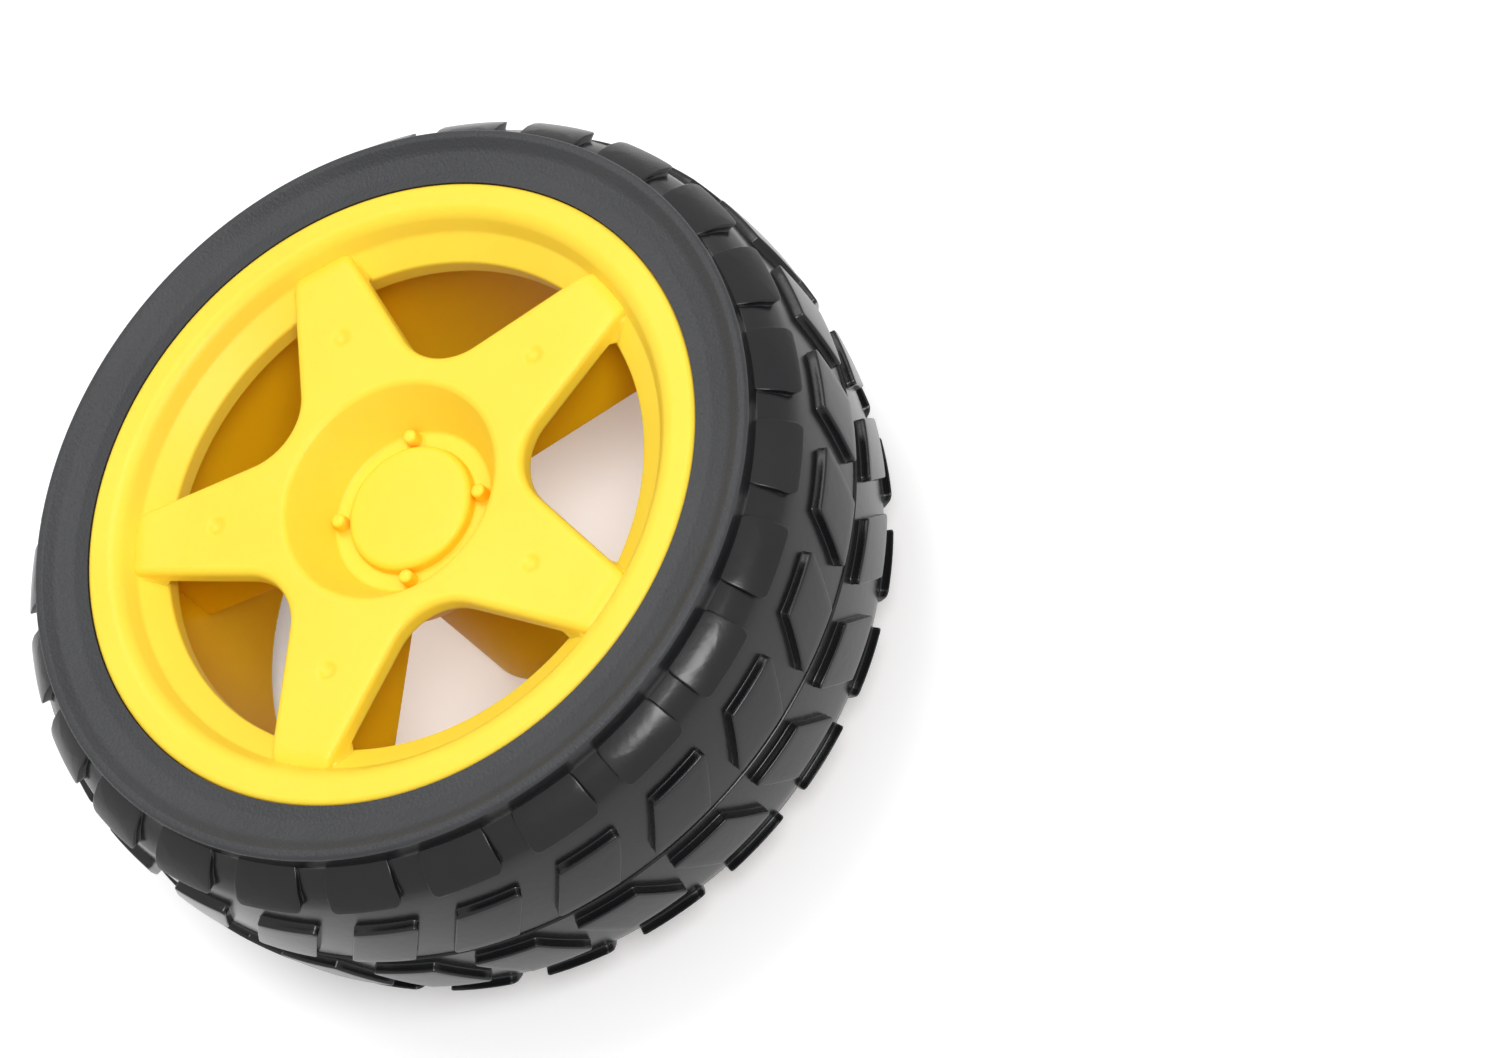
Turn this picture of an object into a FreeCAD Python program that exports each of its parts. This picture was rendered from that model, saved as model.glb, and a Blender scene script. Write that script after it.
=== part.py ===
import FreeCAD, Part
import math
import os
import re
import Sketcher

# Wheel for a small robot car: one moulded plastic rim with five spokes and
# a socket for a flatted shaft, and a hollow rubber tyre stretched over it.
# The axis is Z, the spoked outer face looks up, and the origin is on the
# axis at the free end of the hub boss.

SIZES = [
    ("tyre_diameter", 65.0, "over the tread blocks at mid width"),
    ("tyre_height", 8.0, "from the tread at mid width in to the outside of the rim's lips"),
    ("lip_span", 23.6, "from the inner lip's face to the outer lip's face"),
    ("boss_proud", 2.8, "how far the hub boss stands past the inner lip"),
    ("inner_lip_width", 2.3, "flat ring round the barrel's open mouth"),
    ("outer_lip_width", 1.1, "outside of the outer lip to the end of its flat ring"),
    ("lip_roll", 1.0, "round from the outer lip's flat ring into the wall inside it"),
    ("wall_lean", 20.0, "angle of the wall inside the outer lip to the axis"),
    ("flange_thickness", 2.0, "axial thickness of each lip outside the tyre seat"),
    ("channel_depth", 1.1, "how far the tyre seat lies below the lips"),
    ("lip_rounding", 0.45, "rounding of the lips' outer corners"),
    ("barrel_top_wall", 1.9, "wall under the tyre's seat, just under the ledge"),
    ("ledge_drop", 3.0, "outer lip's face down to the ledge"),
    ("ledge_thickness", 1.4, "ring that the spokes stand on"),
    ("ledge_reach", 5.2, "outside of the lips in to the edge of the ledge, the outside of the windows"),
    ("face_drop", 1.05, "outer lip's face down to the face of the spokes"),
    ("spoke_count", 5, "spokes, ribs and windows"),
    ("spoke_thickness", 1.4, "plate of the spokes"),
    ("spoke_end_inset", 2.5, "outside of the lips in to the end of a spoke, hidden in the wall"),
    ("spoke_end_width", 4.5, "width of a spoke at its end"),
    ("nose_radius", 2.4, "round by which a spoke's face falls to its end"),
    ("foot_overhang", 0.4, "how far a spoke's foot reaches in over the ledge's edge"),
    ("spoke_taper", 11.9, "angle of a spoke's edge to its middle line"),
    ("valley_radius", 4.6, "round between two spokes"),
    ("dimple_inset", 5.7, "rim of the sunk centre out to the middle of a dimple"),
    ("dimple_diameter", 1.2, "dimple in each spoke"),
    ("dimple_depth", 0.3, "dimple in each spoke"),
    ("dish_edge_radius", 8.5, "rim of the sunk centre"),
    ("dish_floor_radius", 6.4, "foot of the sunk centre's wall"),
    ("dish_depth", 4.0, "face of the spokes down to the sunk floor"),
    ("dish_wall", 1.8, "wall under and around the sunk centre"),
    ("disc_radius", 4.95, "foot of the raised disc in the middle"),
    ("disc_height", 0.95, "disc above the sunk floor"),
    ("disc_rounding", 0.55, "soft edge of the disc"),
    ("pip_count", 4, "pips round the disc"),
    ("pip_ring", 5.7, "radius of the ring of pips"),
    ("pip_diameter", 1.1, "round pip"),
    ("pip_height", 1.2, "pip above the sunk floor"),
    ("pip_turn", 18.0, "angle from a spoke to the first pip"),
    ("boss_diameter", 9.3, "hub boss"),
    ("boss_flare", 2.6, "round at the root of the boss"),
    ("socket_diameter", 5.3, "round part of the shaft socket"),
    ("socket_flats", 3.66, "distance between the socket's two flats"),
    ("socket_depth", 11.0, "depth of the flatted socket from the boss end"),
    ("mouth_diameter", 5.8, "round lead-in at the mouth of the socket"),
    ("mouth_depth", 1.0, "round lead-in at the mouth of the socket"),
    ("rib_thickness", 1.2, "web behind each spoke"),
    ("rib_outer_drop", 13.3, "outer lip's face to the rib's edge at the barrel"),
    ("rib_inner_drop", 8.2, "outer lip's face to the rib's edge at the boss"),
    ("seat_clearance", 0.05, "between the tyre's beads and the rim"),
    ("bead_drop", 0.5, "lip's face down to where the tyre meets the lip"),
    ("bead_width", 3.0, "foot of the tyre on its seat"),
    ("bead_height", 1.7, "foot of the tyre above its seat"),
    ("crest_inset", 4.3, "from the tread in to the ridge between sidewall and shoulder"),
    ("crest_proud", 0.6, "ridge above the lip's face"),
    ("crest_rounding", 0.55, "rounding of the ridge"),
    ("tread_wall", 2.3, "thickness of the tyre under the tread"),
    ("side_wall", 2.6, "thickness of the tyre's sidewall"),
    ("crown_drop", 1.0, "fall of the tread from mid width to the shoulder"),
    ("crown_half_width", 8.6, "mid width to the shoulder"),
    ("shoulder_drop", 2.1, "fall of the tread over the shoulder"),
    ("shoulder_width", 2.0, "axial width of the shoulder"),
    ("shoulder_radius", 6.0, "round of the shoulder"),
    ("block_count", 25, "tread blocks in each row"),
    ("block_height", 0.7, "blocks above the floor of the tread"),
    ("block_width", 5.2, "middle block round the tyre"),
    ("shoulder_block_width", 5.7, "shoulder block round the tyre"),
    ("block_slant", 2.6, "sideways lean of a middle block over its length"),
    ("block_inner_end", 1.3, "mid width to the near end of a middle block"),
    ("block_outer_end", 5.9, "mid width to the far end of a middle block"),
    ("block_corner", 0.5, "rounded corners of the shoulder blocks"),
    ("tread_turn", 0.6, "turn of the tread against the spokes"),
]

doc = FreeCAD.newDocument("robot_car_wheel")
sheet = doc.addObject("Spreadsheet::Sheet", "Sizes")
NAMES = [name for name, value, meaning in SIZES]
for row, (name, value, meaning) in enumerate(SIZES, 1):
    sheet.set("A%d" % row, meaning)
    sheet.set("B%d" % row, str(value))
    sheet.setAlias("B%d" % row, name)
doc.recompute()


def bound(text):
    """Turn a formula of sheet names into an expression on the sheet."""
    return re.sub(r"[a-z_]+", lambda word: ("Sizes." if word.group(0) in NAMES else "") + word.group(0), text)


def number(text):
    """The present value of a formula of sheet names."""
    value = sheet.evalExpression(bound(text))
    return float(getattr(value, "Value", value))


# Heights and radii that several features share
INNER_LIP = "boss_proud"
OUTER_LIP = "(boss_proud + lip_span)"
MIDDLE = "(boss_proud + lip_span / 2)"
FACE = "(boss_proud + lip_span - face_drop)"
PLATE_BACK = "(boss_proud + lip_span - face_drop - spoke_thickness)"
LEDGE_TOP = "(boss_proud + lip_span - ledge_drop)"
LEDGE_BACK = "(boss_proud + lip_span - ledge_drop - ledge_thickness)"
DISH_FLOOR = "(boss_proud + lip_span - face_drop - dish_depth)"
DISH_BACK = "(boss_proud + lip_span - face_drop - dish_depth - dish_wall)"
LIP_RADIUS = "(tyre_diameter / 2 - tyre_height)"
SEAT_RADIUS = "(%s - channel_depth)" % LIP_RADIUS
BARREL_TOP = "(%s - barrel_top_wall)" % SEAT_RADIUS
ROLL_START = "(%s - outer_lip_width)" % LIP_RADIUS
ROLL_END = "(%s - lip_roll * cos(wall_lean))" % ROLL_START
ROLL_FALL = "(lip_roll * (1 - sin(wall_lean)))"
WALL_FOOT = "(%s - (ledge_drop - %s) * tan(wall_lean))" % (ROLL_END, ROLL_FALL)
LEDGE_EDGE = "(%s - ledge_reach)" % LIP_RADIUS
SPOKE_END = "(%s - spoke_end_inset)" % LIP_RADIUS
CREST_RADIUS = "(tyre_diameter / 2 - crest_inset)"
BOSS_RADIUS = "(boss_diameter / 2)"


def plane_of(body, role):
    """One of the body's own origin planes or axes."""
    return next(item for item in body.Origin.OriginFeatures if item.Role == role)


def new_sketch(body, role, name, offset="0"):
    """An empty sketch on an origin plane, lifted off it along its normal."""
    sketch = body.newObject("Sketcher::SketchObject", name)
    sketch.AttachmentSupport = [(plane_of(body, role), "")]
    sketch.MapMode = "FlatFace"
    sketch.setExpression("AttachmentOffset.Base.z", bound(offset))
    return sketch


def pin_point(sketch, edge, end, across, up):
    """Hold one end of an edge at a place given by two formulas."""
    for kind, axis, text in (("DistanceX", -2, across), ("DistanceY", -1, up)):
        value = number(text)
        if text == "0":
            sketch.addConstraint(Sketcher.Constraint("PointOnObject", edge, end, axis))
            continue
        index = sketch.addConstraint(Sketcher.Constraint(kind, -1, 1, edge, end, value))
        sketch.setExpression("Constraints[%d]" % index, bound(text))


def arc_between(first, last, radius, side):
    """Arc from first to last, with its centre to the left (1) or right (-1)."""
    chord = last - first
    reach = math.sqrt(max(radius ** 2 - (chord.Length / 2) ** 2, 0.0))
    left = FreeCAD.Vector(-chord.y, chord.x, 0).normalize()
    centre = (first + last) * 0.5 + left * (side * reach)
    start, stop = (first, last) if side > 0 else (last, first)
    angles = [math.atan2(point.y - centre.y, point.x - centre.x) for point in (start, stop)]
    circle = Part.Circle(centre, FreeCAD.Vector(0, 0, 1), radius)
    return Part.ArcOfCircle(circle, angles[0], angles[1])


def outline(sketch, corners):
    """Closed outline. A corner is (across, up), or (across, up, radius, side) where an arc leaves it."""
    points = [FreeCAD.Vector(number(corner[0]), number(corner[1]), 0) for corner in corners]
    ends = []
    first_edge = sketch.GeometryCount
    for index, corner in enumerate(corners):
        start = points[index]
        stop = points[(index + 1) % len(points)]
        if len(corner) == 2:
            sketch.addGeometry(Part.LineSegment(start, stop))
            ends.append((1, 2))
        else:
            sketch.addGeometry(arc_between(start, stop, number(corner[2]), corner[3]))
            ends.append((1, 2) if corner[3] > 0 else (2, 1))
    for index, corner in enumerate(corners):
        edge = first_edge + index
        before = first_edge + (index - 1) % len(corners)
        leave = ends[index][0]
        arrive = ends[(index - 1) % len(corners)][1]
        sketch.addConstraint(Sketcher.Constraint("Coincident", before, arrive, edge, leave))
        pin_point(sketch, edge, leave, corner[0], corner[1])
        if len(corner) > 2:
            radius = sketch.addConstraint(Sketcher.Constraint("Radius", edge, number(corner[2])))
            sketch.setExpression("Constraints[%d]" % radius, bound(corner[2]))


def lathe(body, name, corners, kind="Revolution"):
    """Turn an outline of radius and height round the axis, to add or to cut."""
    sketch = new_sketch(body, "XZ_Plane", name + "_profile")
    outline(sketch, corners)
    feature = body.newObject("PartDesign::" + kind, name)
    feature.Profile = sketch
    feature.ReferenceAxis = (sketch, ["V_Axis"])
    feature.Angle = 360
    doc.recompute()
    return feature


def plate(body, name, role, offset, depth, corners, reverse=False, midplane=False, kind="Pad"):
    """Pad or pocket an outline drawn on an origin plane."""
    sketch = new_sketch(body, role, name + "_outline", offset)
    outline(sketch, corners)
    feature = body.newObject("PartDesign::" + kind, name)
    feature.Profile = sketch
    feature.setExpression("Length", bound(depth))
    feature.Reversed = reverse
    if midplane:
        feature.SideType = "Symmetric"
    doc.recompute()
    return feature


def round_copies(body, name, originals, count):
    """Repeat features evenly round the axis."""
    pattern = body.newObject("PartDesign::PolarPattern", name)
    pattern.Originals = originals
    pattern.Axis = (plane_of(body, "Z_Axis"), [""])
    pattern.Angle = 360
    pattern.setExpression("Occurrences", bound(count))
    body.Tip = pattern
    doc.recompute()
    return pattern


def make_barrel(body):
    """Tube with a lip at each end, a seat for the tyre between them and the ledge inside."""
    lathe(body, "barrel", [
        (LIP_RADIUS + " - inner_lip_width", INNER_LIP),
        (LIP_RADIUS + " - lip_rounding", INNER_LIP, "lip_rounding", 1),
        (LIP_RADIUS, INNER_LIP + " + lip_rounding"),
        (LIP_RADIUS, INNER_LIP + " + flange_thickness"),
        (SEAT_RADIUS, INNER_LIP + " + flange_thickness"),
        (SEAT_RADIUS, OUTER_LIP + " - flange_thickness"),
        (LIP_RADIUS, OUTER_LIP + " - flange_thickness"),
        (LIP_RADIUS, OUTER_LIP + " - lip_rounding", "lip_rounding", 1),
        (LIP_RADIUS + " - lip_rounding", OUTER_LIP),
        (ROLL_START, OUTER_LIP, "lip_roll", 1),
        (ROLL_END, OUTER_LIP + " - " + ROLL_FALL),
        (WALL_FOOT, LEDGE_TOP),
        (LEDGE_EDGE, LEDGE_TOP),
        (LEDGE_EDGE, LEDGE_BACK),
        (BARREL_TOP, LEDGE_BACK),
    ])


def make_spokes(body):
    """One fifth of the star, from the middle out, with its foot, five times round, and the ends rounded down."""
    half_pitch = "(180 / spoke_count)"
    slope = "tan(spoke_taper)"
    edge_height = "(spoke_end_width / 2 + %s * %s)" % (SPOKE_END, slope)
    corner = "(%s / (tan(%s) + %s))" % (edge_height, half_pitch, slope)
    opening = "(%s + spoke_taper)" % half_pitch
    valley = "(%s / cos(%s) + valley_radius * (1 / sin(%s) - 1))" % (corner, half_pitch, opening)
    valley_x = "%s * cos(%s)" % (valley, half_pitch)
    valley_y = "%s * sin(%s)" % (valley, half_pitch)
    touch_x = "(%s + valley_radius / tan(%s) * cos(spoke_taper))" % (corner, opening)
    touch_y = "(%s - %s * %s)" % (edge_height, touch_x, slope)
    star = plate(body, "spoke", "XY_Plane", FACE, "spoke_thickness", [
        ("0", "0"),
        (valley_x, "-" + valley_y, "valley_radius", -1),
        (touch_x, "-" + touch_y),
        (SPOKE_END, "-spoke_end_width / 2"),
        (SPOKE_END, "spoke_end_width / 2"),
        (touch_x, touch_y, "valley_radius", -1),
        (valley_x, valley_y),
    ], reverse=True)
    foot_start = "(%s - foot_overhang)" % LEDGE_EDGE
    foot_half = "(%s - %s * %s)" % (edge_height, foot_start, slope)
    foot = plate(body, "spoke_foot", "XY_Plane", FACE, "ledge_drop - face_drop + ledge_thickness / 2", [
        (foot_start, "-" + foot_half),
        (SPOKE_END, "-spoke_end_width / 2"),
        (SPOKE_END, "spoke_end_width / 2"),
        (foot_start, foot_half),
    ], reverse=True)
    round_copies(body, "spokes", [star, foot], "spoke_count")
    nose_start = "(%s - nose_radius)" % SPOKE_END
    above = FACE + " + face_drop"
    lathe(body, "spoke_noses", [
        (nose_start, FACE, "nose_radius", -1),
        (SPOKE_END, FACE + " - nose_radius"),
        (LIP_RADIUS, FACE + " - nose_radius"),
        (LIP_RADIUS, above),
        (nose_start, above),
    ], kind="Groove")


def make_ribs(body):
    """Thin web behind each spoke, deep at the barrel and shallow at the boss."""
    slope = "((rib_outer_drop - rib_inner_drop) / (%s - boss_diameter / 2))" % BARREL_TOP
    web_start = "(boss_diameter / 4)"
    web_end = "(%s + barrel_top_wall / 3)" % BARREL_TOP
    start_drop = "(rib_inner_drop - (boss_diameter / 2 - %s) * %s)" % (web_start, slope)
    end_drop = "(rib_outer_drop + barrel_top_wall / 3 * %s)" % slope
    top = OUTER_LIP + " - face_drop - spoke_thickness / 2"
    step = "(%s + ledge_thickness / 4)" % LEDGE_EDGE
    inside_ledge = LEDGE_TOP + " - ledge_thickness / 2"
    rib = plate(body, "rib", "XZ_Plane", "0", "rib_thickness", [
        (web_start, OUTER_LIP + " - " + start_drop),
        (web_end, OUTER_LIP + " - " + end_drop),
        (web_end, inside_ledge),
        (step, inside_ledge),
        (step, top),
        (web_start, top),
    ], midplane=True)
    round_copies(body, "ribs", [rib], "spoke_count")


def make_hub(body):
    """Cup behind the sunk centre, with the boss that carries the shaft socket."""
    lathe(body, "hub", [
        ("0", "0"),
        (BOSS_RADIUS, "0"),
        (BOSS_RADIUS, DISH_BACK + " - boss_flare", "boss_flare", -1),
        (BOSS_RADIUS + " + boss_flare", DISH_BACK),
        ("dish_floor_radius + dish_wall", DISH_BACK),
        ("dish_edge_radius + dish_wall", PLATE_BACK),
        ("dish_edge_radius + dish_wall", FACE),
        ("0", FACE),
    ])


def make_dish(body):
    """Sunk centre with a raised disc left standing in it."""
    above = FACE + " + face_drop"
    disc_top = DISH_FLOOR + " + disc_height"
    lathe(body, "dish", [
        ("0", disc_top),
        ("disc_radius - disc_rounding", disc_top, "disc_rounding", -1),
        ("disc_radius", disc_top + " - disc_rounding"),
        ("disc_radius", DISH_FLOOR),
        ("dish_floor_radius", DISH_FLOOR),
        ("dish_edge_radius", FACE),
        ("dish_edge_radius", above),
        ("0", above),
    ], kind="Groove")


def make_socket(body):
    """Flatted shaft socket, open at the boss end through a round lead-in."""
    chord = "sqrt((socket_diameter / 2) ^ 2 - (socket_flats / 2) ^ 2)"
    plate(body, "socket", "XY_Plane", "0", "socket_depth", [
        ("-" + chord, "-socket_flats / 2"),
        (chord, "-socket_flats / 2", "socket_diameter / 2", 1),
        (chord, "socket_flats / 2"),
        ("-" + chord, "socket_flats / 2", "socket_diameter / 2", 1),
    ], reverse=True, kind="Pocket")
    lathe(body, "socket_mouth", [
        ("0", "0"),
        ("mouth_diameter / 2", "0"),
        ("mouth_diameter / 2", "mouth_depth"),
        ("0", "mouth_depth"),
    ], kind="Groove")


def make_marks(body):
    """A shallow dimple in each spoke and the round pips beside the disc."""
    sketch = new_sketch(body, "XY_Plane", "dimple_place", FACE)
    add_circle(sketch, "dish_edge_radius + dimple_inset", "0", "dimple_diameter / 2")
    dimple = body.newObject("PartDesign::Pocket", "dimple")
    dimple.Profile = sketch
    dimple.setExpression("Length", bound("dimple_depth"))
    doc.recompute()
    round_copies(body, "dimples", [dimple], "spoke_count")
    sketch = new_sketch(body, "XY_Plane", "pip_place", DISH_FLOOR + " - dish_wall / 4")
    add_circle(sketch, "pip_ring * cos(pip_turn)", "-pip_ring * sin(pip_turn)", "pip_diameter / 2")
    pip = body.newObject("PartDesign::Pad", "pip")
    pip.Profile = sketch
    pip.setExpression("Length", bound("pip_height + dish_wall / 4"))
    doc.recompute()
    round_copies(body, "pips", [pip], "pip_count")


def add_circle(sketch, across, up, radius):
    """A circle held at a place and radius given by formulas."""
    centre = FreeCAD.Vector(number(across), number(up), 0)
    edge = sketch.addGeometry(Part.Circle(centre, FreeCAD.Vector(0, 0, 1), number(radius)))
    pin_point(sketch, edge, 3, across, up)
    index = sketch.addConstraint(Sketcher.Constraint("Radius", edge, number(radius)))
    sketch.setExpression("Constraints[%d]" % index, bound(radius))


def make_rim():
    """The whole moulding, in the order in which its forms build on each other."""
    body = doc.addObject("PartDesign::Body", "wheel_rim")
    body.Label = "wheel_rim"
    make_spokes(body)
    make_barrel(body)
    make_ribs(body)
    make_hub(body)
    make_dish(body)
    make_socket(body)
    make_marks(body)
    return body


def make_carcass(body):
    """Hollow sleeve: crown, shoulders, ridges, dished sidewalls and the two beads on their seat."""
    floor_crown = "(tyre_diameter / 2 - block_height)"
    floor_edge = "(tyre_diameter / 2 - crown_drop - block_height)"
    crown_bend = "((crown_half_width ^ 2 + crown_drop ^ 2) / (2 * crown_drop))"
    shoulder_foot = "(tyre_diameter / 2 - crown_drop - shoulder_drop - block_height)"
    shoulder_end = "(crown_half_width + shoulder_width)"
    crest_end = "(lip_span / 2 + crest_proud)"
    bead_radius = "(%s + seat_clearance)" % LIP_RADIUS
    foot_radius = "(%s + seat_clearance)" % SEAT_RADIUS
    bead_top = "(lip_span / 2 - bead_drop)"
    bead_side = "(lip_span / 2 - flange_thickness - seat_clearance)"
    bead_back = "(lip_span / 2 - flange_thickness - seat_clearance - bead_width)"
    bead_ceiling = "(%s + seat_clearance + bead_height)" % SEAT_RADIUS
    hollow_radius = "(tyre_diameter / 2 - block_height - tread_wall)"
    hollow_end = "(lip_span / 2 - bead_drop - side_wall)"
    hollow_corner = "(tread_wall / 2)"
    upper = [
        (floor_edge, "crown_half_width", "shoulder_radius", 1),
        (shoulder_foot, shoulder_end),
        (CREST_RADIUS + " + crest_rounding", crest_end + " - crest_rounding", "crest_rounding", 1),
        (CREST_RADIUS, crest_end),
        (CREST_RADIUS + " - crest_rounding", crest_end + " - crest_rounding / 4"),
        (bead_radius, bead_top),
        (bead_radius, bead_side),
        (foot_radius, bead_side),
        (foot_radius, bead_back),
        (bead_ceiling, bead_back),
        (hollow_radius + " - " + hollow_corner, hollow_end, hollow_corner, -1),
        (hollow_radius, hollow_end + " - " + hollow_corner),
    ]
    corners = []
    for corner in upper:
        corners.append((corner[0], MIDDLE + " + " + corner[1]) + tuple(corner[2:]))
    for index in range(len(upper) - 1, -1, -1):
        corner = upper[index]
        mirrored = (corner[0], MIDDLE + " - (" + corner[1] + ")")
        previous = upper[index - 1]
        if index > 0 and len(previous) > 2:
            mirrored += tuple(previous[2:])
        if index == 0:
            mirrored += (crown_bend, 1)
        corners.append(mirrored)
    lathe(body, "carcass", corners)


def make_tread(body):
    """Four rows of blocks, raised past their height and then turned down to the tread's curve."""
    root = "(tyre_diameter / 2 - block_height - tread_wall / 2)"
    shoulder_root = "(tyre_diameter / 2 - crown_drop - shoulder_drop - block_height - tread_wall / 2)"
    reach = "(tyre_diameter / 2 + block_height)"
    half = "block_width / 2"
    wide = "shoulder_block_width / 2"
    rows = []
    for side, sign in (("outer", "+"), ("inner", "-")):
        near = "%s %s block_inner_end" % (MIDDLE, sign)
        far = "%s %s block_outer_end" % (MIDDLE, sign)
        rows.append(plate(body, side + "_slant_block", "YZ_Plane", root, reach + " - " + root, [
            ("-%s - block_slant" % half, near),
            ("%s - block_slant" % half, near),
            (half, far),
            ("-" + half, far),
        ]))
        low = "%s %s crown_half_width" % (MIDDLE, sign)
        high = "%s %s (crown_half_width + shoulder_width)" % (MIDDLE, sign)
        low_in = "%s %s (crown_half_width + block_corner)" % (MIDDLE, sign)
        high_in = "%s %s (crown_half_width + shoulder_width - block_corner)" % (MIDDLE, sign)
        turn = 1 if sign == "+" else -1
        rows.append(plate(body, side + "_shoulder_block", "YZ_Plane", shoulder_root, reach + " - " + shoulder_root, [
            ("-%s + block_corner" % wide, low),
            ("%s - block_corner" % wide, low, "block_corner", turn),
            (wide, low_in),
            (wide, high_in, "block_corner", turn),
            ("%s - block_corner" % wide, high),
            ("-%s + block_corner" % wide, high, "block_corner", turn),
            ("-" + wide, high_in),
            ("-" + wide, low_in, "block_corner", turn),
        ]))
    round_copies(body, "blocks", rows, "block_count")
    top_edge = "(tyre_diameter / 2 - crown_drop)"
    top_foot = "(tyre_diameter / 2 - crown_drop - shoulder_drop)"
    crown_bend = "((crown_half_width ^ 2 + crown_drop ^ 2) / (2 * crown_drop))"
    shoulder_end = "(crown_half_width + shoulder_width)"
    outside = "(tyre_diameter / 2 + 2 * block_height)"
    lathe(body, "tread_curve", [
        (top_foot, MIDDLE + " - " + shoulder_end, "shoulder_radius", 1),
        (top_edge, MIDDLE + " - crown_half_width", crown_bend, 1),
        (top_edge, MIDDLE + " + crown_half_width", "shoulder_radius", 1),
        (top_foot, MIDDLE + " + " + shoulder_end),
        (outside, MIDDLE + " + " + shoulder_end),
        (outside, MIDDLE + " - " + shoulder_end),
    ], kind="Groove")


def make_tyre():
    """Rubber tyre, turned a little against the spokes as it was fitted."""
    body = doc.addObject("PartDesign::Body", "tyre")
    body.Label = "tyre"
    make_carcass(body)
    make_tread(body)
    body.Placement = FreeCAD.Placement(FreeCAD.Vector(), FreeCAD.Rotation(FreeCAD.Vector(0, 0, 1), 1))
    body.setExpression("Placement.Rotation.Angle", bound("tread_turn"))
    return body


def check(parts):
    """Stop before anything is written if a feature or a part is not sound."""
    for item in doc.Objects:
        if "Invalid" in item.State or "Error" in item.State:
            raise RuntimeError("%s failed: %s" % (item.Name, item.State))
    for part in parts:
        if part.Shape.isNull() or not part.Shape.isValid() or len(part.Shape.Solids) != 1:
            raise RuntimeError("%s is not one sound solid" % part.Label)


parts = [make_rim(), make_tyre()]
doc.recompute()
check(parts)
os.makedirs("parts", exist_ok=True)
for part in parts:
    part.Shape.exportStep("parts/%s.step" % part.Label)
    box = part.Shape.BoundBox
    print("%s volume %.1f z %.3f to %.3f width %.3f" % (part.Label, part.Shape.Volume, box.ZMin, box.ZMax, box.XLength))
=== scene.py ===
import math
import bpy
import bmesh
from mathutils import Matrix, Quaternion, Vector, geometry


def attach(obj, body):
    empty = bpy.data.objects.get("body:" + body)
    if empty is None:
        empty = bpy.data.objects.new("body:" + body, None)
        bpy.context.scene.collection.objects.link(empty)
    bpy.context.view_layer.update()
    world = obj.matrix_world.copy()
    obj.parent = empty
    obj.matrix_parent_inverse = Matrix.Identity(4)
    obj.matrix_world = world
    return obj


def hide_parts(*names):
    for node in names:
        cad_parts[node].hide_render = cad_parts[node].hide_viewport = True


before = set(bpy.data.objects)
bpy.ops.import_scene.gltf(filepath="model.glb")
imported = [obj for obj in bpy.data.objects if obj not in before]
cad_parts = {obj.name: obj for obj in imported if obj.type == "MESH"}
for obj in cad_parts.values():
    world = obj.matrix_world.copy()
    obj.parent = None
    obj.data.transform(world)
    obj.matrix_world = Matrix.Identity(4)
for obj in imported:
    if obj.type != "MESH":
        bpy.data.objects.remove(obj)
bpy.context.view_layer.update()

MM = 0.001

# Sizes in millimetres
BOSS_PROUD = 2.8
LIP_SPAN = 23.6
OUTER_LIP = BOSS_PROUD + LIP_SPAN
MIDDLE = BOSS_PROUD + LIP_SPAN / 2
FACE = OUTER_LIP - 1.05
PLATE_BACK = FACE - 1.4
WALL_FOOT = OUTER_LIP - 1.65
LEDGE_TOP = OUTER_LIP - 2.9
LEDGE_BACK = OUTER_LIP - 4.4
DISH_FLOOR = FACE - 4.0
DISH_BACK = DISH_FLOOR - 1.8
TYRE_RADIUS = 32.48
BLOCK_HEIGHT = 0.7
TREAD_TURN = math.radians(0.6)
BLOCKS = 25
LIP_RADIUS = 24.5
SEAT_RADIUS = 23.4
WINDOW_RADIUS = 19.3
WALL_FOOT_RADIUS = 21.2
BOSS_RADIUS = 4.65
MOUTH_RADIUS = 2.9
MOUTH_DEPTH = 1.0
SOCKET_RADIUS = 2.65
SOCKET_FLAT = 1.83
SOCKET_DEPTH = 11.0
DIMPLE_RING = 14.2
PIP_RING = 5.7
PIP_HEIGHT = 1.2


def point(radius, angle, z):
    return Vector((radius * math.cos(angle) * MM, radius * math.sin(angle) * MM, z * MM))


def swung(v, t):
    """Plane vector v turned by the angle t."""
    return Vector((v.x * math.cos(t) - v.y * math.sin(t), v.x * math.sin(t) + v.y * math.cos(t)))


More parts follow.
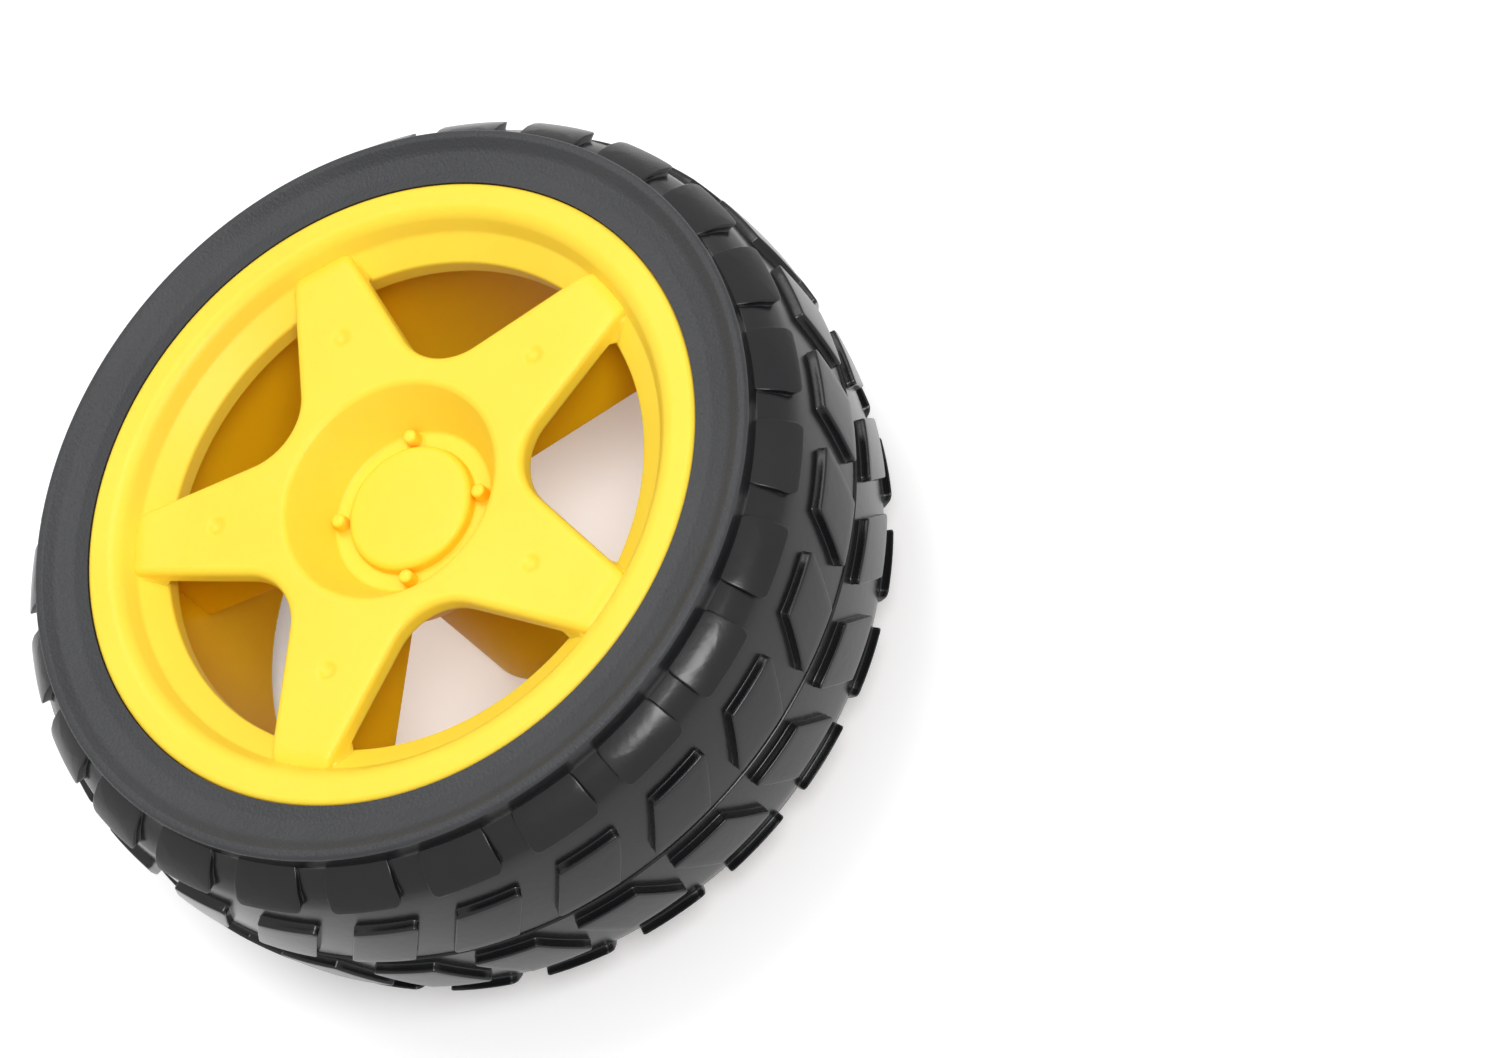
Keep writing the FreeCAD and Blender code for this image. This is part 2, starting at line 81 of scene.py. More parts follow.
class Shell:
    """A mesh that is put together from rings of points."""

    def __init__(self):
        self.bm = bmesh.new()

    def ring(self, points):
        return [self.bm.verts.new(p) for p in points]

    def circle(self, radius, z, count, turn=0.0):
        return self.ring([point(radius, turn + 2 * math.pi * i / count, z) for i in range(count)])

    def small_circle(self, x, y, radius, z, count):
        """Circle round a place beside the wheel's axis."""
        points = []
        for i in range(count):
            t = 2 * math.pi * i / count
            points.append(Vector(((x + radius * math.cos(t)) * MM, (y + radius * math.sin(t)) * MM, z * MM)))
        return self.ring(points)

    def bridge(self, first, second, material=0):
        count = len(first)
        for i in range(count):
            j = (i + 1) % count
            face = self.bm.faces.new((first[i], first[j], second[j], second[i]))
            face.material_index = material

    def cap(self, ring, centre, material=0):
        middle = self.bm.verts.new(centre)
        for i in range(len(ring)):
            face = self.bm.faces.new((ring[i], ring[(i + 1) % len(ring)], middle))
            face.material_index = material

    def finish(self, name, materials, sharp=50):
        bmesh.ops.recalc_face_normals(self.bm, faces=self.bm.faces)
        mesh = bpy.data.meshes.new(name)
        self.bm.to_mesh(mesh)
        self.bm.free()
        for polygon in mesh.polygons:
            polygon.use_smooth = True
        mesh.set_sharp_from_angle(angle=math.radians(sharp))
        obj = bpy.data.objects.new(name, mesh)
        bpy.context.scene.collection.objects.link(obj)
        for material in materials:
            mesh.materials.append(material)
        weighted = obj.modifiers.new("even_shading", "WEIGHTED_NORMAL")
        weighted.keep_sharp = True
        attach(obj, "root")
        return obj


def rounded(points, steps=6):
    """Profile of (across, up, rounding radius) corners turned into plain points."""
    out = []
    count = len(points)
    for i in range(count):
        here = Vector(points[i][:2])
        radius = points[i][2] if len(points[i]) > 2 else 0.0
        if radius <= 0 or i in (0, count - 1):
            out.append(here)
            continue
        before = (Vector(points[i - 1][:2]) - here)
        after = (Vector(points[i + 1][:2]) - here)
        angle = before.angle(after)
        reach = min(radius / math.tan(angle / 2), before.length * 0.49, after.length * 0.49)
        size = reach * math.tan(angle / 2)
        a = before.normalized()
        b = after.normalized()
        centre = here + (a + b).normalized() * (size / math.sin(angle / 2))
        start = here + a * reach - centre
        stop = here + b * reach - centre
        sweep = math.pi - angle
        turn = 1.0 if start.x * stop.y - start.y * stop.x > 0 else -1.0
        for k in range(steps + 1):
            t = turn * sweep * k / steps
            out.append(centre + swung(start, t))
    return out


def thin_out(points, longest):
    """Adds points on long runs so that no step is longer than longest."""
    out = [points[0]]
    for a, b in zip(points, points[1:]):
        n = max(1, math.ceil((b - a).length / longest))
        for k in range(1, n + 1):
            out.append(a.lerp(b, k / n))
    return out


def turned(shell, profile, count, closed=False, material=0):
    rings = [shell.circle(p.x, p.y, count) for p in profile]
    for a, b in zip(rings, rings[1:]):
        shell.bridge(a, b, material)
    if closed:
        shell.bridge(rings[-1], rings[0], material)
    return rings


def node(tree, kind, place, **values):
    made = tree.nodes.new(kind)
    made.location = place
    for key, value in values.items():
        if hasattr(made, key):
            setattr(made, key, value)
        else:
            made.inputs[key.replace("_", " ")].default_value = value
    return made


def new_material(name):
    material = bpy.data.materials.new(name)
    material.use_nodes = True
    tree = material.node_tree
    shader = tree.nodes["Principled BSDF"]
    return material, tree, shader


def plastic(name, low, high, painted_shade_tone, sheen):
    """Moulded plastic: faint flow marks, a fine uneven skin, and painted shade: a deeper orange where ambient
    occlusion finds hollows.
    """
    material, tree, shader = new_material(name)
    link = tree.links.new
    place = node(tree, "ShaderNodeTexCoord", (-1200, 0))
    flow = node(tree, "ShaderNodeTexNoise", (-950, 200), Scale=60.0, Detail=3.0, Roughness=0.5)
    skin = node(tree, "ShaderNodeTexNoise", (-950, -200), Scale=900.0, Detail=4.0, Roughness=0.6)
    link(place.outputs["Object"], flow.inputs["Vector"])
    link(place.outputs["Object"], skin.inputs["Vector"])
    ramp = node(tree, "ShaderNodeValToRGB", (-700, 200))
    ramp.color_ramp.elements[0].position = 0.3
    ramp.color_ramp.elements[0].color = (*low, 1)
    ramp.color_ramp.elements[1].position = 0.7
    ramp.color_ramp.elements[1].color = (*high, 1)
    link(flow.outputs["Fac"], ramp.inputs["Fac"])
    # Painted shade: the base colour turns to the deeper orange tone where ambient occlusion finds corners and
    # recesses.
    hollow = node(tree, "ShaderNodeAmbientOcclusion", (-700, 450), samples=8, Distance=0.014)
    painted_shade_mix = node(tree, "ShaderNodeMix", (-350, 350), data_type="RGBA")
    open_air = node(tree, "ShaderNodeMapRange", (-520, 480), From_Min=0.05, From_Max=0.38)
    link(hollow.outputs["AO"], open_air.inputs["Value"])
    link(open_air.outputs["Result"], painted_shade_mix.inputs[0])
    painted_shade_mix.inputs[6].default_value = (*painted_shade_tone, 1)
    link(ramp.outputs["Color"], painted_shade_mix.inputs[7])
    link(painted_shade_mix.outputs[2], shader.inputs["Base Color"])
    gloss = node(tree, "ShaderNodeMapRange", (-700, -50), To_Min=0.36, To_Max=0.46)
    link(skin.outputs["Fac"], gloss.inputs["Value"])
    link(gloss.outputs["Result"], shader.inputs["Roughness"])
    bump = node(tree, "ShaderNodeBump", (-450, -250), Strength=0.15, Distance=0.00004)
    link(skin.outputs["Fac"], bump.inputs["Height"])
    link(bump.outputs["Normal"], shader.inputs["Normal"])
    shader.inputs["Subsurface Weight"].default_value = 0.25
    shader.inputs["Subsurface Radius"].default_value = (1.0, 0.5, 0.1)
    shader.inputs["Subsurface Scale"].default_value = 0.0015
    shader.inputs["Specular IOR Level"].default_value = sheen
    return material


def rubber(name, low, high, grain, depth, rough_low, rough_high):
    """Black rubber with a grain of the given size and depth."""
    material, tree, shader = new_material(name)
    link = tree.links.new
    place = node(tree, "ShaderNodeTexCoord", (-1200, 0))
    cloud = node(tree, "ShaderNodeTexNoise", (-950, 250), Scale=90.0, Detail=4.0, Roughness=0.6)
    fine = node(tree, "ShaderNodeTexNoise", (-950, -100), Scale=grain, Detail=3.0, Roughness=0.55)
    link(place.outputs["Object"], cloud.inputs["Vector"])
    link(place.outputs["Object"], fine.inputs["Vector"])
    ramp = node(tree, "ShaderNodeValToRGB", (-700, 250))
    ramp.color_ramp.elements[0].position = 0.3
    ramp.color_ramp.elements[0].color = (*low, 1)
    ramp.color_ramp.elements[1].position = 0.7
    ramp.color_ramp.elements[1].color = (*high, 1)
    link(cloud.outputs["Fac"], ramp.inputs["Fac"])
    link(ramp.outputs["Color"], shader.inputs["Base Color"])
    gloss = node(tree, "ShaderNodeMapRange", (-700, 0), To_Min=rough_low, To_Max=rough_high)
    link(cloud.outputs["Fac"], gloss.inputs["Value"])
    link(gloss.outputs["Result"], shader.inputs["Roughness"])
    bump = node(tree, "ShaderNodeBump", (-450, -200), Strength=0.6, Distance=depth)
    link(fine.outputs["Fac"], bump.inputs["Height"])
    link(bump.outputs["Normal"], shader.inputs["Normal"])
    shader.inputs["Specular IOR Level"].default_value = 0.36
    return material


# The fourth colour of each plastic is the painted shade for occluded corners.
YELLOW = plastic("yellow_plastic", (0.955, 0.66, 0.045), (0.975, 0.70, 0.060), (0.95, 0.42, 0.0), 0.28)
# Painted shade: a deeper orange, less glossy copy of the yellow plastic, put on inside faces that lie in
# shade.
YELLOW_PAINTED_SHADE = plastic("yellow_plastic_painted_shade", (0.95, 0.54, 0.002), (0.96, 0.58, 0.004), (0.93, 0.36, 0.0), 0.08)
RUBBER_SIDE = rubber("grained_rubber", (0.025, 0.026, 0.028), (0.034, 0.035, 0.037),
                     4200.0, 0.00012, 0.42, 0.52)
RUBBER_TREAD = rubber("smooth_rubber", (0.004, 0.0043, 0.005), (0.008, 0.0083, 0.009),
                      1500.0, 0.00002, 0.2, 0.3)


def make_barrel():
    """Lips, barrel wall and the ledge that carries the spokes, as one turned ring."""
    corners = [
        (21.8, BOSS_PROUD + 11.0, 0),
        (22.25, BOSS_PROUD, 0.5),
        (LIP_RADIUS, BOSS_PROUD, 0.5),
        (LIP_RADIUS, BOSS_PROUD + 2.0, 0.1),
        (SEAT_RADIUS, BOSS_PROUD + 2.0, 0.1),
        (SEAT_RADIUS, OUTER_LIP - 2.0, 0.1),
        (LIP_RADIUS, OUTER_LIP - 2.0, 0.1),
        (LIP_RADIUS, OUTER_LIP, 0.45),
        (22.1, OUTER_LIP - 0.03, 1.4),
        (WALL_FOOT_RADIUS, WALL_FOOT, 0.7),
        (WINDOW_RADIUS, LEDGE_TOP, 0.35),
        (WINDOW_RADIUS, LEDGE_BACK, 0.25),
        (21.52, LEDGE_BACK, 0.6),
        (21.8, BOSS_PROUD + 11.0, 0),
    ]
    profile = thin_out(rounded(corners), 2.5)[:-1]
    shell = Shell()
    turned(shell, profile, 256, closed=True)
    # Painted shade: faces inside the barrel get the darker orange copy of the yellow.
    for face in shell.bm.faces:
        middle = face.calc_center_median() / MM
        if math.hypot(middle.x, middle.y) < 22.3 and BOSS_PROUD + 0.6 < middle.z < LEDGE_BACK + 0.3:
            face.material_index = 1
    return shell.finish("rim_barrel", [YELLOW, YELLOW_PAINTED_SHADE])


SPOKES = 5
SPOKE_END = 22.4
SPOKE_HALF = 2.17
NOSE = 2.4
NOSE_STEPS = (0.2, 0.4, 0.6, 0.85, 1.1, 1.4, 1.7, 2.05, 2.4, 2.8)
TAPER = math.radians(11.9)
VALLEY = 4.6


def along(x, y):
    """Distance from the axis along the middle line of the nearest spoke."""
    turns = [2 * math.pi * k / SPOKES for k in range(SPOKES)]
    return max(x * math.cos(t) + y * math.sin(t) for t in turns)


def nose_fall(x, y):
    """How far the spoke's face has fallen at a place near its end."""
    past = along(x, y) - (SPOKE_END - NOSE)
    return NOSE - math.sqrt(NOSE ** 2 - min(max(past, 0.0), NOSE) ** 2)


def star_outline():
    """Points of the star, each with its outward direction."""
    out = []
    half_pitch = math.pi / SPOKES
    edge = SPOKE_HALF + SPOKE_END * math.tan(TAPER)
    meet = edge / (math.tan(half_pitch) + math.tan(TAPER))
    opening = half_pitch + TAPER
    centre_r = meet / math.cos(half_pitch) + VALLEY / math.sin(opening)
    touch_x = meet + VALLEY / math.tan(opening) * math.cos(TAPER)
    for k in range(SPOKES):
        turn = 2 * math.pi * k / SPOKES

        def put(x, y, nx, ny):
            c, s = math.cos(turn), math.sin(turn)
            out.append((Vector((x * c - y * s, x * s + y * c)), Vector((nx * c - ny * s, nx * s + ny * c))))

        side_n = (math.sin(TAPER), math.cos(TAPER))
        for i in range(9):
            share = i / 4 - 1
            put(SPOKE_END, SPOKE_HALF * share, 0, share)
        touch_y = edge - touch_x * math.tan(TAPER)
        reaches = [SPOKE_END - d for d in NOSE_STEPS]
        reaches += [reaches[-1] + (touch_x - reaches[-1]) * i / 9 for i in range(1, 9)]
        for x in reaches:
            put(x, edge - x * math.tan(TAPER), *side_n)
        cx = centre_r * math.cos(half_pitch)
        cy = centre_r * math.sin(half_pitch)
        first = math.atan2(touch_y - cy, touch_x - cx)
        middle = half_pitch + math.pi
        sweep = 2 * (middle - (first % (2 * math.pi)))
        for i in range(25):
            a = first + sweep * i / 24
            put(cx + VALLEY * math.cos(a), cy + VALLEY * math.sin(a), -math.cos(a), -math.sin(a))
        c, s = math.cos(2 * half_pitch), math.sin(2 * half_pitch)
        for x in reversed(reaches):
            y = edge - x * math.tan(TAPER)
            put(x * c + y * s, x * s - y * c, side_n[0] * c + side_n[1] * s, side_n[0] * s - side_n[1] * c)
    return out


def make_star():
    """Star of spokes, sunk centre, cup and hub boss with its socket, as one closed skin."""
    shell = Shell()
    outline = star_outline()
    count = len(outline)
    angles = [math.atan2(p.y, p.x) for p, n in outline]
    soft = 0.6

    def inset(distance, z_of):
        moved = [p - n * distance for p, n in outline]
        return shell.ring([Vector((p.x * MM, p.y * MM, z_of(p) * MM)) for p in moved])

    def round_ring(radius, z):
        return shell.ring([point(radius, a, z) for a in angles])

    def on_ledge(r):
        t = min(1.0, max(0.0, (r - 18.9) / 0.6))
        return t * t * (3 - 2 * t)

    def ledge_height(r):
        share = min(1.0, max(0.0, (r - WINDOW_RADIUS) / (WALL_FOOT_RADIUS - WINDOW_RADIUS)))
        return LEDGE_TOP + (WALL_FOOT - LEDGE_TOP) * share

    steps = 6
    edge_rings = []
    for k in range(steps + 1):
        a = math.pi / 2 * k / steps
        fall = soft * (1 - math.cos(a))
        distance = soft * (1 - math.sin(a))
        edge_rings.append(inset(distance, lambda p, fall=fall: FACE - fall - nose_fall(p.x, p.y)))
    for a, b in zip(edge_rings, edge_rings[1:]):
        shell.bridge(a, b)
    last = edge_rings[-1]
    # Reach outward and height over the plate's back, then the same over the ledge
    foot_steps = ((0.03, 0.30, 0.04, 0.32), (0.05, 0.12, 0.12, 0.12),
                  (0.02, 0.0, 0.34, -0.04), (0.0, -0.01, 0.5, -0.5))
    for free_out, free_up, out, up in foot_steps:
        ring = []
        for i, (p, n) in enumerate(outline):
            w = on_ledge(p.length)
            q = p + n * (free_out + (out - free_out) * w)
            z = PLATE_BACK + free_up + (ledge_height(p.length) + up - PLATE_BACK - free_up) * w
            z = min(z, last[i].co.z / MM - 0.005)
            ring.append(Vector((q.x * MM, q.y * MM, z * MM)))
        side = shell.ring(ring)
        shell.bridge(last, side)
        last = side
    shy = [p * (min(18.7, p.length - 0.3) / p.length) for p, n in outline]
    brink = shell.ring([Vector((p.x * MM, p.y * MM, PLATE_BACK * MM)) for p in shy])
    # Painted shade: the plate's back, the cup's back, the boss and the socket get the darker orange copy of
    # the yellow.
    shell.bridge(last, brink, 1)
    under = round_ring(10.2, PLATE_BACK)
    shell.bridge(brink, under, 1)

    back = rounded([(10.2, PLATE_BACK, 0), (9.9, PLATE_BACK - 0.25, 0.3), (8.2, DISH_BACK, 0.5),
                    (7.1, DISH_BACK - 0.02, 0.4), (BOSS_RADIUS, DISH_BACK - 2.5, 2.4),
                    (BOSS_RADIUS, 0.0, 0.3), (MOUTH_RADIUS, 0.0, 0.25), (MOUTH_RADIUS, MOUTH_DEPTH, 0)], 5)
    back = thin_out(back, 4.0)[1:]
    last = under
    for p in back:
        ring = round_ring(p.x, p.y)
        shell.bridge(last, ring, 1)
        last = ring

    def socket(z):
        points = []
        for a in angles:
            reach = SOCKET_RADIUS
            if abs(math.sin(a)) * SOCKET_RADIUS > SOCKET_FLAT:
                reach = SOCKET_FLAT / abs(math.sin(a))
            points.append(point(reach, a, z))
        return shell.ring(points)

    for z in (MOUTH_DEPTH, MOUTH_DEPTH + 0.02, 6.0, SOCKET_DEPTH):
        ring = socket(z)
        shell.bridge(last, ring, 1)
        last = ring
    shell.cap(last, Vector((0, 0, SOCKET_DEPTH * MM)), 1)

    front = rounded([(9.3, FACE, 0), (8.55, FACE, 0.7), (6.35, DISH_FLOOR, 0.35), (5.05, DISH_FLOOR, 0.12),
                     (4.9, DISH_FLOOR + 0.95, 0.6), (2.0, DISH_FLOOR + 1.0, 0)], 6)
    front = thin_out(front, 2.5)[1:]
    rings = [round_ring(p.x, p.y) for p in front]
    for a, b in zip(rings, rings[1:]):
        shell.bridge(a, b)
    shell.cap(rings[-1], Vector((0, 0, (DISH_FLOOR + 1.02) * MM)))

    top_outer = edge_rings[0]
    top_inner = rings[0]
    dimples = []
    dimple_edge = 0.95
    dimple_steps = 24
    for k in range(SPOKES):
        a = 2 * math.pi * k / SPOKES
        centre = Vector((DIMPLE_RING * math.cos(a), DIMPLE_RING * math.sin(a)))
        loops = []
        for size, drop in ((dimple_edge, 0.0), (0.72, 0.02), (0.6, 0.08), (0.45, 0.2), (0.2, 0.27)):
            loops.append(shell.small_circle(centre.x, centre.y, size, FACE - drop, dimple_steps))
        for a1, b1 in zip(loops, loops[1:]):
            shell.bridge(a1, b1)
        shell.cap(loops[-1], Vector((centre.x * MM, centre.y * MM, (FACE - 0.28) * MM)))
        dimples.append((centre, loops[0]))

    verts = list(top_outer) + list(top_inner)
    edges = [(i, (i + 1) % count) for i in range(count)]
    edges += [(count + i, count + (i + 1) % count) for i in range(count)]
    for centre, loop in dimples:
        base = len(verts)
        verts += loop
        edges += [(base + i, base + (i + 1) % len(loop)) for i in range(len(loop))]
    for k in range(SPOKES):
        a = 2 * math.pi * k / SPOKES
        for d in NOSE_STEPS[1:]:
            x = SPOKE_END - d
            for share in (-0.75, -0.45, -0.15, 0.15, 0.45, 0.75):
                y = share * (SPOKE_HALF + d * math.tan(TAPER) - soft)
                place = Vector((x * math.cos(a) - y * math.sin(a), x * math.sin(a) + y * math.cos(a)))
                height = FACE - nose_fall(place.x, place.y)
                verts.append(shell.bm.verts.new(Vector((place.x * MM, place.y * MM, height * MM))))
    coords = [Vector((v.co.x / MM, v.co.y / MM)) for v in verts]
    outer = coords[:count]
    inner_r = front[0].x
    made = geometry.delaunay_2d_cdt(coords, edges, [], 0, 1e-7)
    owners = made[3]
    for tri in made[2]:
        mid = sum((made[0][i] for i in tri), Vector((0, 0))) / 3
        if mid.length < inner_r * math.cos(math.pi / count) - 1e-4:
            continue
        if any((mid - c).length < dimple_edge * math.cos(math.pi / dimple_steps) for c, loop in dimples):
            continue
        if not inside(mid, outer):
            continue
        corners = [verts[owners[i][0]] for i in tri]
        if len(set(corners)) == 3 and not shell.bm.faces.get(corners):
            shell.bm.faces.new(corners)
    return shell.finish("rim_star", [YELLOW, YELLOW_PAINTED_SHADE], 60)


def inside(p, polygon):
    result = False
    j = len(polygon) - 1
    for i in range(len(polygon)):
        a, b = polygon[i], polygon[j]
        if (a.y > p.y) != (b.y > p.y) and p.x < (b.x - a.x) * (p.y - a.y) / (b.y - a.y) + a.x:
            result = not result
        j = i
    return result


# Places along a rib with the height of its top there
RIB_TOPS = ((3.6, 20.4), (7.0, 20.4), (7.8, 21.2), (8.6, 23.2), (9.2, FACE - 0.9),
            (14.0, FACE - 0.9), (18.95, FACE - 0.9), (19.5, LEDGE_TOP - 0.6), (22.3, LEDGE_TOP - 0.6))


def make_ribs():
    """Webs behind the spokes with a softly rounded free edge."""
    shell = Shell()
    half = 0.6
    inner_drop = 8.2
    slope = (13.3 - inner_drop) / (21.5 - BOSS_RADIUS)
    for k in range(SPOKES):
        turn = 2 * math.pi * k / SPOKES
        stations = []
        for r, top in RIB_TOPS:
            free = OUTER_LIP - (inner_drop + (r - BOSS_RADIUS) * slope)
            row = [(half, top), (half, (top + free) / 2)]
            for i in range(9):
                a = math.pi * i / 8
                row.append((half * math.cos(a), free + 0.5 - 0.5 * math.sin(a)))
            row += [(-half, (top + free) / 2), (-half, top)]
            c, s = math.cos(turn), math.sin(turn)
            places = [Vector(((r * c - y * s) * MM, (r * s + y * c) * MM, z * MM)) for y, z in row]
            stations.append(shell.ring(places))
        for a, b in zip(stations, stations[1:]):
            for i in range(len(a) - 1):
                shell.bm.faces.new((a[i], a[i + 1], b[i + 1], b[i]))
            shell.bm.faces.new((a[-1], a[0], b[0], b[-1]))
        shell.bm.faces.new(stations[0])
        shell.bm.faces.new(stations[-1])
    # Painted shade: the ribs in the shade behind the spokes get the darker orange copy of the yellow.
    return shell.finish("rim_ribs", [YELLOW_PAINTED_SHADE])


def make_pips():
    """Round pips that stand in the sunk centre."""
    shell = Shell()
    count = 28
    for k in range(4):
        a = math.radians(-18 + 90 * k)
        cx, cy = PIP_RING * math.cos(a), PIP_RING * math.sin(a)
        top = DISH_FLOOR + PIP_HEIGHT
        profile = rounded([(0.75, DISH_FLOOR - 0.1, 0), (0.75, DISH_FLOOR, 0), (0.57, DISH_FLOOR + 0.12, 0.2),
                           (0.53, top, 0.38), (0.0, top, 0)], 6)[:-1]
        rings = [shell.small_circle(cx, cy, p.x, p.y, count) for p in profile]
        for r1, r2 in zip(rings, rings[1:]):
            shell.bridge(r1, r2)
        shell.cap(rings[-1], Vector((cx * MM, cy * MM, top * MM)))
        shell.cap(rings[0], Vector((cx * MM, cy * MM, (DISH_FLOOR - 0.1) * MM)))
    return shell.finish("rim_pips", [YELLOW])


HALF_SPAN = LIP_SPAN / 2
CROWN_HALF = 8.6
CROWN_DROP = 1.0
SHOULDER_END = 10.6
SHOULDER_DROP = 2.1
CROWN_BEND = (CROWN_HALF ** 2 + CROWN_DROP ** 2) / (2 * CROWN_DROP)
SHOULDER_BEND = 6.0


def tread_radius(w):
    """Radius of the block tops at a distance w from mid width."""
    w = abs(w)
    if w <= CROWN_HALF:
        return TYRE_RADIUS - CROWN_BEND + math.sqrt(CROWN_BEND ** 2 - w ** 2)
    r0, w0 = TYRE_RADIUS - CROWN_DROP, CROWN_HALF
    r1, w1 = r0 - SHOULDER_DROP, SHOULDER_END
    chord = math.hypot(r1 - r0, w1 - w0)
    reach = math.sqrt(SHOULDER_BEND ** 2 - chord ** 2 / 4)
    nx, ny = (r0 - r1) / chord, (w1 - w0) / chord
    mid_r, mid_w = (r0 + r1) / 2, (w0 + w1) / 2
    centre_r = mid_r - ny * reach
    centre_w = mid_w - nx * reach
    w = min(w, w1 + 1.2)
    return centre_r + math.sqrt(max(SHOULDER_BEND ** 2 - (w - centre_w) ** 2, 0.0))


def make_tyre():
    """Carcass of the tyre: bead, dished sidewall, ridge, tread floor with its parting line."""
    shell = Shell()
    count = 300
    half = []
    for i in range(13):
        w = 9.6 * i / 12
        half.append((tread_radius(w) - BLOCK_HEIGHT, w))
    half += [(tread_radius(10.1) - BLOCK_HEIGHT, 10.1), (28.78, 10.55), (28.7, 10.8), (28.7, 11.2)]
    profile = [Vector(p) for p in half[1:]]
    ridge = rounded([(28.7, 11.2, 0), (28.72, HALF_SPAN + 0.58, 0.5), (28.0, HALF_SPAN + 0.56, 0.35),
                     (27.2, HALF_SPAN + 0.02, 1.2), (25.7, HALF_SPAN - 0.2, 1.5),
                     (24.53, HALF_SPAN - 0.12, 0)], 5)
    profile += ridge[1:]
    side_from = len(profile) - len(ridge) + 1
    bead = [(24.55, HALF_SPAN - 1.9), (23.47, HALF_SPAN - 2.06), (23.47, HALF_SPAN - 4.5)]
    hollow = [(25.5, HALF_SPAN - 4.7), (28.5, HALF_SPAN - 3.3), (29.3, 5.0)]
    profile += [Vector(p) for p in bead + hollow]
    floor = TYRE_RADIUS - BLOCK_HEIGHT
    parting_line = [Vector((floor + 0.16, 0.0)), Vector((floor + 0.12, 0.06)), Vector((floor, 0.1))]
    upper = parting_line + profile
    lower = [Vector((p.x, MIDDLE - p.y)) for p in reversed(upper[1:])]
    full = lower + [Vector((p.x, MIDDLE + p.y)) for p in upper]
    rings = [shell.circle(p.x, p.y, count) for p in full]
    total = len(full)
    middle = total // 2
    for i in range(total):
        j = (i + 1) % total
        distance = abs(i + 0.5 - middle)
        grained = distance > side_from + 4
        shell.bridge(rings[i], rings[j], 0 if grained else 1)
    return shell.finish("tyre_carcass", [RUBBER_SIDE, RUBBER_TREAD])


def loop_points(corners, radius, steps):
    """Closed outline in (turn, width) with rounded corners, with outward directions."""
    out = []
    count = len(corners)
    for i in range(count):
        here = Vector(corners[i])
        a = (Vector(corners[i - 1]) - here).normalized()
        b = (Vector(corners[(i + 1) % count]) - here).normalized()
        angle = a.angle(b)
        centre = here + (a + b).normalized() * (radius / math.sin(angle / 2))
        start = (here + a * (radius / math.tan(angle / 2)) - centre)
        sweep = math.pi - angle
        for k in range(steps + 1):
            t = sweep * k / steps
            d = swung(start, t)
            out.append((centre + d, d.normalized()))
    dense = []
    for i in range(len(out)):
        p, n = out[i]
        q, m = out[(i + 1) % len(out)]
        dense.append((p, n))
        gap = (q - p).length
        extra = int(gap / 0.8)
        for k in range(1, extra + 1):
            t = k / (extra + 1)
            dense.append((p.lerp(q, t), n.lerp(m, t).normalized()))
    return dense


def add_block(shell, corners, turn, radius, mirror):
    """One tread block on the floor: flared foot, leaning wall, soft edge, curved top."""
    outline = loop_points(corners, radius, 4)
    centre = sum((p for p, n in outline), Vector((0, 0))) / len(outline)
    edge = 0.14
    layers = [(edge, -0.78), (0.07, -0.71), (0.03, -0.62), (0.01, -0.30), (0.0, -0.11),
              (-0.03, -0.04), (-0.08, -0.01), (-edge, 0.0)]
    rings = []

    def place(p, lift):
        w = p.y
        angle = turn + TREAD_TURN + p.x / TYRE_RADIUS
        run_out = 0.6 * (max(0.0, w - 10.0) / 0.9) ** 1.6
        return point(tread_radius(w) + lift * (1 - run_out) - run_out * 0.75, angle, MIDDLE + mirror * w)

    for out, lift in layers:
        rings.append(shell.ring([place(p + n * out, lift) for p, n in outline]))
    for share in (0.75, 0.45, 0.2):
        inner = [p - n * edge for p, n in outline]
        rings.append(shell.ring([place(centre + (p - centre) * share, 0.0) for p in inner]))
    for a, b in zip(rings, rings[1:]):
        shell.bridge(a, b)
    shell.cap(rings[-1], place(centre, 0.0))


def make_blocks():
    """Two slanted rows and two shoulder rows of blocks."""
    half = 2.6
    wide = 2.85
    near, far = 1.3, 5.9
    end = SHOULDER_END + 0.3
    for name, mirror in (("outer", 1), ("inner", -1)):
        shell = Shell()
        for k in range(BLOCKS):
            turn = 2 * math.pi * k / BLOCKS
            slant = [(-2 * half, near), (0.0, near), (half, far), (-half, far)]
            add_block(shell, slant, turn, 0.3, mirror)
            shoulder = [(-wide, CROWN_HALF), (wide, CROWN_HALF), (wide, end), (-wide, end)]
            add_block(shell, shoulder, turn, 0.55, mirror)
        shell.finish("tread_blocks_" + name, [RUBBER_TREAD], 70)


barrel = make_barrel()
make_star()
make_ribs()
make_pips()
carcass = make_tyre()
make_blocks()
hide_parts("wheel_rim")
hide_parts("tyre")


def shown(tree):
    """1 for the rays that show the background itself, 0 for the rays that light something."""
    path = node(tree, "ShaderNodeLightPath", (-900, 200))
    first = node(tree, "ShaderNodeMath", (-700, 200), operation="MAXIMUM")
    second = node(tree, "ShaderNodeMath", (-500, 200), operation="MAXIMUM")
    tree.links.new(path.outputs["Is Camera Ray"], first.inputs[0])
    tree.links.new(path.outputs["Is Glossy Ray"], first.inputs[1])
    tree.links.new(first.outputs[0], second.inputs[0])
    tree.links.new(path.outputs["Is Transmission Ray"], second.inputs[1])
    return second.outputs[0]


